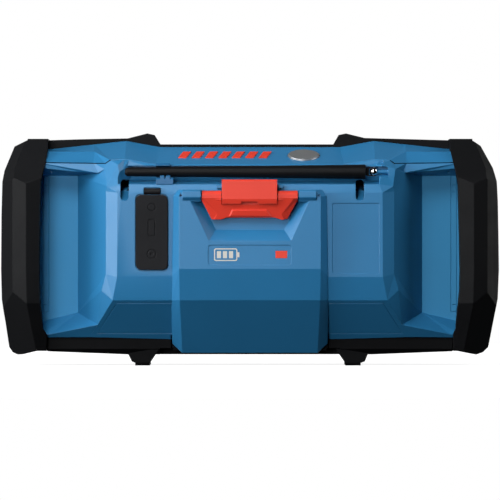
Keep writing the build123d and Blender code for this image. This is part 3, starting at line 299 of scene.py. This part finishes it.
def finish_piece(ob, finish, body, bevel=0.0, segments=2):
    """Bevel, even shading, finish, body and slot."""
    ob.data.materials.clear()
    ob.data.materials.append(finish[0])
    ob.data.materials.append(finish[1])
    if bevel > 0:
        b = ob.modifiers.new("round", "BEVEL")
        b.width = bevel
        b.segments = segments
        b.limit_method = "WEIGHT"
        b.use_clamp_overlap = False
        b.material = 1
        b.miter_outer = "MITER_SHARP"
        b.harden_normals = False
        b.loop_slide = True
    w = ob.modifiers.new("even", "WEIGHTED_NORMAL")
    w.mode = "FACE_AREA"
    w.weight = 90
    w.keep_sharp = True
    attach(ob, body)
    return ob


def body_of_node(n):
    return frame["nodes"][n]["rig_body"]


def detail(n, finish, bevel=0.35, flat=0.6, segments=2, curve_angle=27.0, strip=1.7, name=None, edit=None, concave=False):
    """A finer copy of a CAD node: flat faces joined up, sharp edges rounded."""
    src = frame["nodes"][n]
    me = src.data.copy()
    me.name = name or n + "_fine"
    ob = bpy.data.objects.new(me.name, me)
    scene.collection.objects.link(ob)
    bm = bmesh.new()
    bm.from_mesh(me)
    clean(bm, flat)
    if edit:
        edit(bm)
    weigh(bm, bevel * MM, curve_angle, strip * MM, concave)
    for f in bm.faces:
        f.material_index = 0
    bm.to_mesh(me)
    bm.free()
    if me.attributes.get("custom_normal"):
        me.attributes.remove(me.attributes["custom_normal"])
    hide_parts(n)
    return finish_piece(ob, finish, body_of_node(n), bevel * MM, segments)


def second(ob, test):
    """Gives the second finish to the faces whose centre, in mm, passes the test."""
    for p in ob.data.polygons:
        if test(*(p.center / MM)):
            p.material_index = 1
    return ob


def cut_planes(bm, planes):
    for co, no in planes:
        bmesh.ops.bisect_plane(bm, geom=bm.verts[:] + bm.edges[:] + bm.faces[:], dist=1e-6,
                               plane_co=Vector(co) * MM, plane_no=Vector(no))


def joined(nodes, name, finish, planes=(), strip=0.9, curve_angle=27.0, flat=0.6):
    """One skin from several touching nodes of the same body, without the faces they share."""
    parts = []
    for n in nodes:
        bm = bmesh.new()
        bm.from_mesh(frame["nodes"][n].data)
        bmesh.ops.remove_doubles(bm, verts=bm.verts[:], dist=2e-6)
        cut_planes(bm, planes)
        bmesh.ops.triangulate(bm, faces=bm.faces[:])
        bm.normal_update()
        parts.append((bm, BVHTree.FromBMesh(bm)))
    shared = [[] for p in parts]
    for i, (bm, tree) in enumerate(parts):
        for f in bm.faces:
            for j in range(len(parts)):
                if j == i:
                    continue
                loc, no, k, d = parts[j][1].find_nearest(f.calc_center_median(), 0.02 * MM)
                if loc is not None and d < 0.01 * MM and no.dot(f.normal) < -0.99:
                    shared[i].append(f)
                    break
    whole = bmesh.new()
    me = bpy.data.meshes.new(name)
    for i, (bm, tree) in enumerate(parts):
        bmesh.ops.delete(bm, geom=shared[i], context="FACES")
        bm.to_mesh(me)
        bm.free()
        whole.from_mesh(me)
    clean(whole, flat)
    weigh(whole, 0.0, curve_angle, strip * MM)
    for f in whole.faces:
        f.material_index = 0
    whole.to_mesh(me)
    whole.free()
    if me.attributes.get("custom_normal"):
        me.attributes.remove(me.attributes["custom_normal"])
    ob = bpy.data.objects.new(name, me)
    scene.collection.objects.link(ob)
    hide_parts(*nodes)
    return finish_piece(ob, finish, body_of_node(nodes[0]))


def near_line(x, z, pts, half):
    for (x0, z0), (x1, z1) in zip(pts, pts[1:]):
        dx, dz = x1 - x0, z1 - z0
        t = max(0.0, min(1.0, ((x - x0) * dx + (z - z0) * dz) / (dx * dx + dz * dz)))
        if math.hypot(x - x0 - t * dx, z - z0 - t * dz) < half:
            return True
    return False


def from_bm(bm, name, finish, body, bevel=0.0, segments=2, curve_angle=27.0, strip=1.7):
    me = bpy.data.meshes.new(name)
    bmesh.ops.recalc_face_normals(bm, faces=bm.faces[:])
    weigh(bm, max(bevel, 0.01) * MM, curve_angle, strip * MM)
    bm.to_mesh(me)
    bm.free()
    ob = bpy.data.objects.new(name, me)
    scene.collection.objects.link(ob)
    return finish_piece(ob, finish, body, bevel * MM, segments)


def prism(bm, pts, to3, depth0, depth1):
    """Outline pts (two numbers each) carried from depth0 to depth1; to3(a, b, d) gives the point in mm."""
    lo = [bm.verts.new(Vector(to3(a, b, depth0)) * MM) for a, b in pts]
    hi = [bm.verts.new(Vector(to3(a, b, depth1)) * MM) for a, b in pts]
    n = len(pts)
    bm.faces.new(lo)
    bm.faces.new(hi[::-1])
    for i in range(n):
        j = (i + 1) % n
        bm.faces.new([lo[i], hi[i], hi[j], lo[j]])


def ring_prism(bm, outer, inner, to3, depth0, depth1):
    """The band between two outlines with the same number of points."""
    n = len(outer)
    v = [[bm.verts.new(Vector(to3(a, b, d)) * MM) for a, b in pts] for pts in (outer, inner) for d in (depth0, depth1)]
    o0, o1, i0, i1 = v
    for i in range(n):
        j = (i + 1) % n
        bm.faces.new([o0[i], o0[j], o1[j], o1[i]])
        bm.faces.new([i0[j], i0[i], i1[i], i1[j]])
        bm.faces.new([o1[i], o1[j], i1[j], i1[i]])
        bm.faces.new([o0[j], o0[i], i0[i], i0[j]])


def circle(cx, cy, r, n=40, a0=0.0, a1=360.0, closed=True):
    k = n if closed else n - 1
    return [(cx + r * math.cos(math.radians(a0 + (a1 - a0) * i / k)), cy + r * math.sin(math.radians(a0 + (a1 - a0) * i / k)))
            for i in range(n)]


def rounded(x0, x1, z0, z1, r, n=6):
    pts = []
    for cx, cz, a in ((x1 - r, z1 - r, 0), (x0 + r, z1 - r, 90), (x0 + r, z0 + r, 180), (x1 - r, z0 + r, 270)):
        pts += [(cx + r * math.cos(math.radians(a + 90 * i / n)), cz + r * math.sin(math.radians(a + 90 * i / n)))
                for i in range(n + 1)]
    return pts


def rear(a, b, d):
    return (a, d, b)


def lower_knob_face(bm):
    """Leaves the knob's flat face a little lower, so that its pointer stands above it."""
    for v in bm.verts:
        if v.co.y > 61.9 * MM:
            v.co.y -= 0.2 * MM


# ------------------------------------------------------- pieces from CAD nodes
SEAM_LINE = [(-127.2, 121.86), (-93.72, 121.38), (-86.64, 121.26), (-83.64, 123.3), (-74.94, 123.78), (-56.58, 120.78)]
SLOT_X = (-74.94, 65.7)


def joint_and_slot_shade(x, y, z):
    """The narrow dark joint of the top, and painted shade on the deep upper ends of the two wall slots."""
    if y < -30 and near_line(-abs(x), z, SEAM_LINE, 0.30):
        return True
    return any(abs(x - sx) < 2.56 and 105.0 < z < 111.5 and -48.0 < y < -30 for sx in SLOT_X)


shell = joined(("rear_housing", "left_rear_end", "right_rear_end", "left_slot_insert", "right_slot_insert"), "rear_shell",
               (BLUE[0], GAP_AND_SHADE), [((0, -49, 0), (0, 1, 0)), ((0, 0, 105.5), (0, 0, 1)), ((0, -33.5, 0), (0, 1, 0))])
# the top joint gets its dark joint colour; the upper slot ends get painted shade
second(shell, joint_and_slot_shade)
# painted light: the floors of the two grip recesses get the lighter blue
shell.data.materials.append(RECESS_PAINTED_LIGHT)
for p in shell.data.polygons:
    c = p.center / MM
    if 100 < abs(c.x) < 129 and c.y > -30 and 28 < c.z < 116 and p.normal.y < -0.8:
        p.material_index = 2
detail("battery_door", BLUE, 0.0, strip=0.9)
detail("antenna_clip", CLIP_SHADED, 0.0, strip=0.9)
detail("left_bumper", RUBBER, 0.0, curve_angle=4.0, flat=0.3)
detail("right_bumper", RUBBER, 0.0, curve_angle=4.0, flat=0.3)
detail("top_frame", FRAME, 0.0)
detail("base_frame", BASE, 0.0)
detail("front_housing", BLUE, 0.0, strip=0.9)
detail("foot_pads", FOOT, 0.0)
detail("latch_lever", RED, 0.0, strip=0.9)
detail("latch_hook", RED, 0.0, strip=0.9)
detail("strike_bar", BLUE, 0.0)
detail("port_flap", FLAP, 0.0)
detail("flap_hinge_tab", FLAP, 0.0)
detail("antenna_whip", WHIP, 0.2)
second(detail("antenna_post", (CHROME[0], BLUE[0]), 0.0), lambda x, y, z: x > 76.6)
detail("antenna_socket", BLUE, 0.0)
detail("antenna_pin", STEEL, 0.12)
detail("hook_pin", DARK_STEEL, 0.1)
detail("latch_pin", DARK_STEEL, 0.15)
detail("door_hinge_pin", STEEL, 0.2)
detail("housing_screws", DARK_STEEL, 0.2)
detail("control_panel", BLACK, 0.5, segments=3)
detail("left_grille", GRILLE, 0.3)
detail("right_grille", GRILLE, 0.3)
detail("volume_knob", KNOB, 0.12, edit=lower_knob_face)
for b in ("power_button", "source_button", "menu_button", "preset_button_1", "preset_button_2", "preset_button_3"):
    detail(b, BUTTON, 0.35, segments=3)
detail("display_lens", LENS, 0.2)
detail("top_badge", SILVER, 0.2)
detail("housing_seal", FLAP, 0.2)
detail("door_seal", FLAP, 0.2)
for s in ("left", "right"):
    detail(s + "_speaker_cone", CONE, 0.2)
    detail(s + "_speaker_surround", RUBBER, 0.2)
    detail(s + "_speaker_basket", DARK_STEEL, 0.3)
    detail(s + "_speaker_magnet", DARK_STEEL, 0.4)
detail("battery_bay", BLACK, 0.3)
detail("battery_pack", BLACK, 0.8, segments=3)
detail("battery_terminal_block", BLACK, 0.3)
detail("port_panel", BLACK, 0.25)
detail("aux_jack", STEEL, 0.15)
detail("usb_port", STEEL, 0.12)
detail("dc_inlet", STEEL, 0.15)
detail("port_board", BOARD, 0.15)
detail("main_board", BOARD, 0.15)
detail("button_board", BOARD, 0.15)
detail("display_module", SCREEN, 0.2)
detail("rotary_encoder", STEEL, 0.2)


# ------------------------------------------- small marks on the CAD surfaces
bm = bmesh.new()
ring_prism(bm, rounded(-21.48, -7.52, 62.82, 70.38, 1.2), rounded(-20.82, -8.18, 63.48, 69.72, 0.7), rear, -58.42, -58.69)
prism(bm, [(-7.50, 65.12), (-6.32, 65.12), (-6.32, 68.08), (-7.50, 68.08)], rear, -58.42, -58.69)
for x0 in (-19.8, -16.2, -12.6):
    prism(bm, rounded(x0 + 0.02, x0 + 2.48, 64.52, 68.68, 0.15, 3), rear, -58.42, -58.69)
from_bm(bm, "battery_mark", PRINT, "battery_door")
bm = bmesh.new()
prism(bm, rounded(15.22, 22.28, 64.52, 68.88, 0.15, 3), rear, -58.42, -58.72)
from_bm(bm, "door_marker", RED, "battery_door", bevel=0.06)

SLOPE = math.atan2(10.56, 30.0)


def on_slope(a, b, d):
    """a along x, b up the sloping top from its rear edge, d above it."""
    return (a, -39.0 + b * math.cos(SLOPE) - d * math.sin(SLOPE), 120.78 + b * math.sin(SLOPE) + d * math.cos(SLOPE))


bm = bmesh.new()
for k in range(7):
    x = -39.2 + 8.05 * k
    prism(bm, [(x - 3.9, 11.2), (x + 1.0, 11.2), (x + 3.9, 22.2), (x - 1.0, 22.2)], on_slope, -0.15, 0.55)
from_bm(bm, "top_bars", RED, "housing", bevel=0.12)


def across(a, b, d):
    """a along y, b up, d along x."""
    return (d, a, b)


bm = bmesh.new()
for sx in SLOT_X:
    prism(bm, [(-40.42, 104.7), (-40.42, 104.95), (-31.4, 109.4), (-31.4, 104.7)], across, sx - 2.34, sx + 2.34)
from_bm(bm, "slot_floors", (SLOT_FLOOR_SHADED, SLOT_FLOOR_SHADED), "housing")


def front(a, b, d):
    return (a, d, b)


bm = bmesh.new()
for k in range(11):
    t = math.radians(-135.0 + 27.0 * k)
    r0, r1, w = 19.6, (22.2 if k % 5 == 0 else 21.2), 0.28
    pts = []
    for r, q in ((r0, -w), (r1, -w), (r1, w), (r0, w)):
        pts.append((r * math.sin(t) + q * math.cos(t), 41.0 + r * math.cos(t) - q * math.sin(t)))
    prism(bm, pts, front, 52.9, 53.12)
from_bm(bm, "dial_ticks", PRINT, "housing")
bm = bmesh.new()
prism(bm, [(-0.55, 41 + 9.2), (0.55, 41 + 9.2), (0.55, 41 + 15.2), (-0.55, 41 + 15.2)], front, 61.5, 61.96)
from_bm(bm, "knob_pointer", PRINT, "volume_knob")


def arc_band(cx, cz, r0, r1, a0, a1, n=20):
    pts = circle(cx, cz, r1, n, a0, a1, closed=False)
    return pts + circle(cx, cz, r0, n, a1, a0, closed=False)


def button_mark(name, shapes):
    bm = bmesh.new()
    for pts in shapes:
        prism(bm, pts, front, 54.6, 54.9)
    from_bm(bm, name + "_mark", PRINT, name)


def block(x0, x1, z0, z1):
    return [(x0, z0), (x1, z0), (x1, z1), (x0, z1)]


button_mark("power_button", [arc_band(-24, 81.8, 1.35, 1.75, 125, 415), block(-24.2, -23.8, 82.0, 84.2)])
button_mark("source_button", [block(-1.9, 1.9, 83.1, 83.5), block(-1.9, 1.9, 81.8, 82.2), block(-1.9, 1.9, 80.5, 80.9)])
button_mark("menu_button", [circle(24 + d, 82, 0.42, 16) for d in (-1.8, 0, 1.8)])
for k in (1, 2, 3):
    x = (-24, 0, 24)[k - 1]
    button_mark("preset_button_%d" % k, [circle(x + (i - (k - 1) / 2) * 1.9, 70, 0.55, 16) for i in range(k)])

SEGMENTS = {"a": (0, 1, 1), "b": (1, 0.5, 0), "c": (1, -0.5, 0), "d": (0, -1, 1), "e": (-1, -0.5, 0), "f": (-1, 0.5, 0), "g": (0, 0, 1)}
DIGITS = {"1": "bc", "2": "abged", "0": "abcdef", "5": "afgcd"}
bm = bmesh.new()
for i, (digit, cx) in enumerate((("1", -13.0), ("0", -5.0), ("2", 3.0), ("5", 13.0))):
    for name in DIGITS[digit]:
        sx, sz, flat_bar = SEGMENTS[name]
        mx, mz = -(cx + sx * 2.3), 105.5 + sz * 4.6
        w, h = (1.8, 0.42) if flat_bar else (0.42, 1.9)
        prism(bm, [(mx - w, mz), (mx - w + min(w, h) * 0.8, mz - h), (mx + w - min(w, h) * 0.8, mz - h), (mx + w, mz),
                   (mx + w - min(w, h) * 0.8, mz + h), (mx - w + min(w, h) * 0.8, mz + h)] if flat_bar else
              [(mx, mz - h), (mx + w, mz - h + w * 0.8), (mx + w, mz + h - w * 0.8), (mx, mz + h),
               (mx - w, mz + h - w * 0.8), (mx - w, mz - h + w * 0.8)], front, 52.7, 52.9)
prism(bm, block(-8.6, -7.7, 100.6, 101.5), front, 52.7, 52.9)
from_bm(bm, "display_digits", GLOW, "housing")

# --------------------------------------------------------------- stage, light
def floor():
    bm = bmesh.new()
    bmesh.ops.create_circle(bm, cap_ends=True, segments=96, radius=1.3)
    me = bpy.data.meshes.new("floor")
    bm.to_mesh(me)
    bm.free()
    ob = bpy.data.objects.new("floor", me)
    scene.collection.objects.link(ob)
    m, nodes, links = new_material("floor_mat")
    out = nodes.new("ShaderNodeOutputMaterial")
    add = nodes.new("ShaderNodeAddShader")
    d = nodes.new("ShaderNodeBsdfDiffuse")
    d.inputs["Color"].default_value = (0.55, 0.55, 0.55, 1)
    e = nodes.new("ShaderNodeEmission")
    co = nodes.new("ShaderNodeTexCoord")
    ln = nodes.new("ShaderNodeVectorMath")
    ln.operation = "LENGTH"
    links.new(co.outputs["Object"], ln.inputs[0])
    links.new(ranged(nodes, links, ln.outputs["Value"], 0.25, 1.2, 0.86, 1.05), e.inputs["Strength"])
    links.new(d.outputs[0], add.inputs[0])
    links.new(e.outputs[0], add.inputs[1])
    links.new(add.outputs[0], out.inputs["Surface"])
    me.materials.append(m)
    ob.visible_diffuse = ob.visible_glossy = ob.visible_transmission = False


def area(name, at, target, w, h, power, colour=(1, 1, 1)):
    light = bpy.data.lights.new(name, "AREA")
    light.shape = "RECTANGLE"
    light.size, light.size_y = w, h
    light.energy = power
    light.color = colour
    ob = bpy.data.objects.new(name, light)
    scene.collection.objects.link(ob)
    ob.location = at
    ob.rotation_euler = (Vector(target) - Vector(at)).to_track_quat("-Z", "Y").to_euler()
    return ob


def world():
    w = bpy.data.worlds.new("studio")
    scene.world = w
    w.use_nodes = True
    nodes, links = w.node_tree.nodes, w.node_tree.links
    nodes.clear()
    out = nodes.new("ShaderNodeOutputWorld")
    mix = nodes.new("ShaderNodeMixShader")
    seen = nodes.new("ShaderNodeBackground")
    seen.inputs["Color"].default_value = (1, 1, 1, 1)
    seen.inputs["Strength"].default_value = 1.0
    amb = nodes.new("ShaderNodeBackground")
    path = nodes.new("ShaderNodeLightPath")
    co = nodes.new("ShaderNodeTexCoord")
    sep = nodes.new("ShaderNodeSeparateXYZ")
    links.new(co.outputs["Generated"], sep.inputs[0])
    up = ranged(nodes, links, sep.outputs["Z"], -0.25, 0.75, 0.0, 0.015)
    back = ranged(nodes, links, sep.outputs["Y"], -0.1, 0.8, 0.0, 0.10)
    total = nodes.new("ShaderNodeMath")
    total.operation = "ADD"
    links.new(up, total.inputs[0])
    links.new(back, total.inputs[1])
    links.new(total.outputs[0], amb.inputs["Strength"])
    amb.inputs["Color"].default_value = (1, 1, 1, 1)
    links.new(path.outputs["Is Camera Ray"], mix.inputs[0])
    links.new(amb.outputs[0], mix.inputs[1])
    links.new(seen.outputs[0], mix.inputs[2])
    links.new(mix.outputs[0], out.inputs["Surface"])


floor()
world()
AIM = (0.0, -0.04, 0.07)
area("key", (-0.30, -0.75, 0.75), AIM, 0.4, 0.4, 5.3)
area("frontal", (-0.40, -1.30, 0.20), AIM, 0.5, 0.4, 6.1)
area("left_strip", (-1.15, -0.30, 0.35), AIM, 0.5, 1.0, 10.2)
area("left_front", (-1.10, -0.65, 0.35), AIM, 0.5, 0.8, 5.2)
area("right_high", (1.00, -0.20, 0.70), AIM, 0.5, 0.6, 4.2)
area("front_fill", (0.7, 1.5, 0.05), (0.0, 0.05, 0.07), 1.0, 0.6, 8.0)

cam = bpy.data.cameras.new("camera")
cam_ob = bpy.data.objects.new("camera", cam)
scene.collection.objects.link(cam_ob)
CAM_Y = -6.0
cam.sensor_width = 36.0
cam.lens = 36.0 * (-CAM_Y - 0.030) / 0.3
cam.clip_start = 0.1
cam.clip_end = 60.0
cam_ob.location = (0.0, CAM_Y, 0.0694)
cam_ob.rotation_euler = (math.radians(90), 0.0, 0.0)
scene.camera = cam_ob

scene.view_settings.view_transform = "Standard"
scene.view_settings.look = "None"
